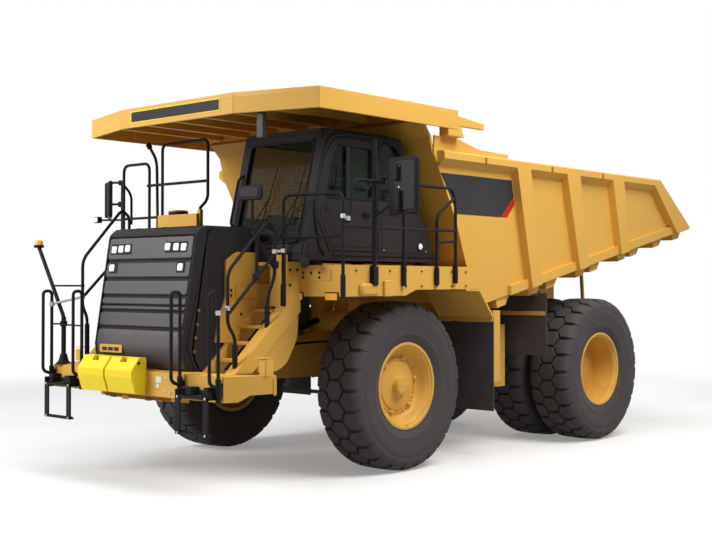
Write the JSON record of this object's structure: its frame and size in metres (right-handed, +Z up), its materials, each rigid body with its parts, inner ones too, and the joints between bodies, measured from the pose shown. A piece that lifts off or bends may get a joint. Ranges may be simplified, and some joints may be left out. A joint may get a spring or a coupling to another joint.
{
  "type": "rigid frame mining dump truck",
  "caption": "Two-axle rigid mining dump truck with a canopied dump body, offset cab, front stairs and dual rear wheels; steers, rolls, and raises its body on two telescopic hoists.",
  "frame": {"origin": "on the ground under the middle of the whole truck's length and width, in its rest pose", "axes": "+Z up, +Y towards the tail of the dump body, +X towards the cab side, which is the driver's left"},
  "size_m": [5.64, 10.1372, 4.526],
  "materials": {
    "yellow_paint": "gloss construction-yellow paint on steel plate",
    "lemon_paint": "lemon-yellow paint",
    "black_paint": "satin near-black paint",
    "tube_black": "satin black paint on steel tube",
    "tyre_rubber": "matt black rubber",
    "flap_rubber": "matt rubber sheet",
    "window_glass": "lightly green window glass",
    "seat_cloth": "teal woven cloth",
    "dark_plastic": "grained dark plastic",
    "cast_grey": "dark grey painted casting",
    "chrome_rod": "polished hard chrome"
  },
  "bodies": {
    "chassis": {"main_frame": "yellow_paint", "front_bumper": "yellow_paint", "push_blocks": "lemon_paint", "engine_block": "cast_grey", "radiator_grille": "black_paint", "hood": "black_paint", "left_deck": "yellow_paint", "right_deck": "yellow_paint", "left_front_mudflap": "flap_rubber", "right_front_mudflap": "flap_rubber", "left_ladder": "tube_black", "right_ladder": "tube_black", "left_stair": "yellow_paint", "right_stair": "yellow_paint", "left_deck_handrail": "tube_black", "right_deck_handrail": "tube_black", "cab_floor": "black_paint", "cab_left_side": "black_paint", "cab_right_side": "black_paint", "cab_front_frame": "black_paint", "windscreen": "window_glass", "cab_rear_wall": "black_paint", "cab_rear_window": "window_glass", "cab_roof": "black_paint", "cab_quarter_window": "window_glass", "cab_right_window": "window_glass", "driver_seat": "seat_cloth", "dashboard": "dark_plastic", "fuel_tank": "yellow_paint", "hydraulic_tank": "yellow_paint", "rear_axle": "yellow_paint"},
    "cab_door": {"cab_door": "black_paint", "cab_door_window": "window_glass"},
    "left_knuckle": {"left_steering_knuckle": "cast_grey"},
    "right_knuckle": {"right_steering_knuckle": "cast_grey"},
    "tie_rod": {"tie_rod": "cast_grey"},
    "left_front_wheel": {"left_front_rim": "yellow_paint", "left_front_tyre": "tyre_rubber"},
    "right_front_wheel": {"right_front_rim": "yellow_paint", "right_front_tyre": "tyre_rubber"},
    "left_rear_wheels": {"left_rear_rims": "yellow_paint", "left_rear_outer_tyre": "tyre_rubber", "left_rear_inner_tyre": "tyre_rubber"},
    "right_rear_wheels": {"right_rear_rims": "yellow_paint", "right_rear_outer_tyre": "tyre_rubber", "right_rear_inner_tyre": "tyre_rubber"},
    "dump_body": {"body_floor": "yellow_paint", "body_left_side": "yellow_paint", "body_right_side": "yellow_paint", "body_front_wall": "yellow_paint", "body_canopy": "yellow_paint", "body_left_mudflap": "flap_rubber", "body_right_mudflap": "flap_rubber"},
    "left_hoist_barrel": {"left_hoist_barrel": "cast_grey"},
    "left_hoist_stage": {"left_hoist_stage": "chrome_rod"},
    "left_hoist_rod": {"left_hoist_rod": "chrome_rod"},
    "right_hoist_barrel": {"right_hoist_barrel": "cast_grey"},
    "right_hoist_stage": {"right_hoist_stage": "chrome_rod"},
    "right_hoist_rod": {"right_hoist_rod": "chrome_rod"}
  },
  "joints": [
    {"name": "cab_door_swing", "type": "hinge", "parent": "chassis", "child": "cab_door", "pos_m": [1.724, -2.46335, 2.9], "axis": [0, 0, 1], "range_deg": [0, 22]},
    {"name": "left_steer", "type": "hinge", "parent": "chassis", "child": "left_knuckle", "pos_m": [1.06, -2.05735, 1.05], "axis": [0, 0, 1], "range_deg": [-31, 31]},
    {"name": "right_steer", "type": "hinge", "parent": "chassis", "child": "right_knuckle", "pos_m": [-1.06, -2.05735, 1.05], "axis": [0, 0, 1], "range_deg": [-31, 31]},
    {"name": "tie_rod_swing", "type": "hinge", "parent": "left_knuckle", "child": "tie_rod", "pos_m": [1.06, -1.62735, 0.83], "axis": [0, 0, 1], "range_deg": [-31, 31]},
    {"name": "left_front_wheel_spin", "type": "hinge", "parent": "left_knuckle", "child": "left_front_wheel", "pos_m": [1.591, -2.05735, 1.05], "axis": [1, 0, 0], "continuous": true},
    {"name": "right_front_wheel_spin", "type": "hinge", "parent": "right_knuckle", "child": "right_front_wheel", "pos_m": [-1.591, -2.05735, 1.05], "axis": [1, 0, 0], "continuous": true},
    {"name": "left_rear_wheels_spin", "type": "hinge", "parent": "chassis", "child": "left_rear_wheels", "pos_m": [1.4515, 2.15765, 1.05], "axis": [1, 0, 0], "continuous": true},
    {"name": "right_rear_wheels_spin", "type": "hinge", "parent": "chassis", "child": "right_rear_wheels", "pos_m": [-1.4515, 2.15765, 1.05], "axis": [1, 0, 0], "continuous": true},
    {"name": "dump_body_raise", "type": "hinge", "parent": "chassis", "child": "dump_body", "pos_m": [0, 3.05765, 1.6], "axis": [-1, 0, 0], "range_deg": [0, 50]},
    {"name": "left_hoist_swing", "type": "hinge", "parent": "chassis", "child": "left_hoist_barrel", "pos_m": [0.59, 1.54265, 1.02], "axis": [-1, 0, 0], "range_deg": [0, 25.6]},
    {"name": "left_hoist_stage_slide", "type": "slide", "parent": "left_hoist_barrel", "child": "left_hoist_stage", "axis": [0, 0, 1], "range_m": [0, 0.584]},
    {"name": "left_hoist_rod_slide", "type": "slide", "parent": "left_hoist_stage", "child": "left_hoist_rod", "axis": [0, 0, 1], "range_m": [0, 0.584]},
    {"name": "right_hoist_swing", "type": "hinge", "parent": "chassis", "child": "right_hoist_barrel", "pos_m": [-0.59, 1.54265, 1.02], "axis": [-1, 0, 0], "range_deg": [0, 25.6]},
    {"name": "right_hoist_stage_slide", "type": "slide", "parent": "right_hoist_barrel", "child": "right_hoist_stage", "axis": [0, 0, 1], "range_m": [0, 0.584]},
    {"name": "right_hoist_rod_slide", "type": "slide", "parent": "right_hoist_stage", "child": "right_hoist_rod", "axis": [0, 0, 1], "range_m": [0, 0.584]}
  ],
  "couplings": [
    {"joint": "right_steer", "follows": "left_steer", "ratio": 1},
    {"joint": "tie_rod_swing", "follows": "left_steer", "ratio": -1},
    {"joint": "left_hoist_swing", "follows": "dump_body_raise", "ratio": 0.51019},
    {"joint": "left_hoist_stage_slide", "follows": "dump_body_raise", "m_per_rad": 0.66879},
    {"joint": "left_hoist_rod_slide", "follows": "dump_body_raise", "m_per_rad": 0.66879},
    {"joint": "right_hoist_swing", "follows": "dump_body_raise", "ratio": 0.51019},
    {"joint": "right_hoist_stage_slide", "follows": "dump_body_raise", "m_per_rad": 0.66879},
    {"joint": "right_hoist_rod_slide", "follows": "dump_body_raise", "m_per_rad": 0.66879}
  ]
}
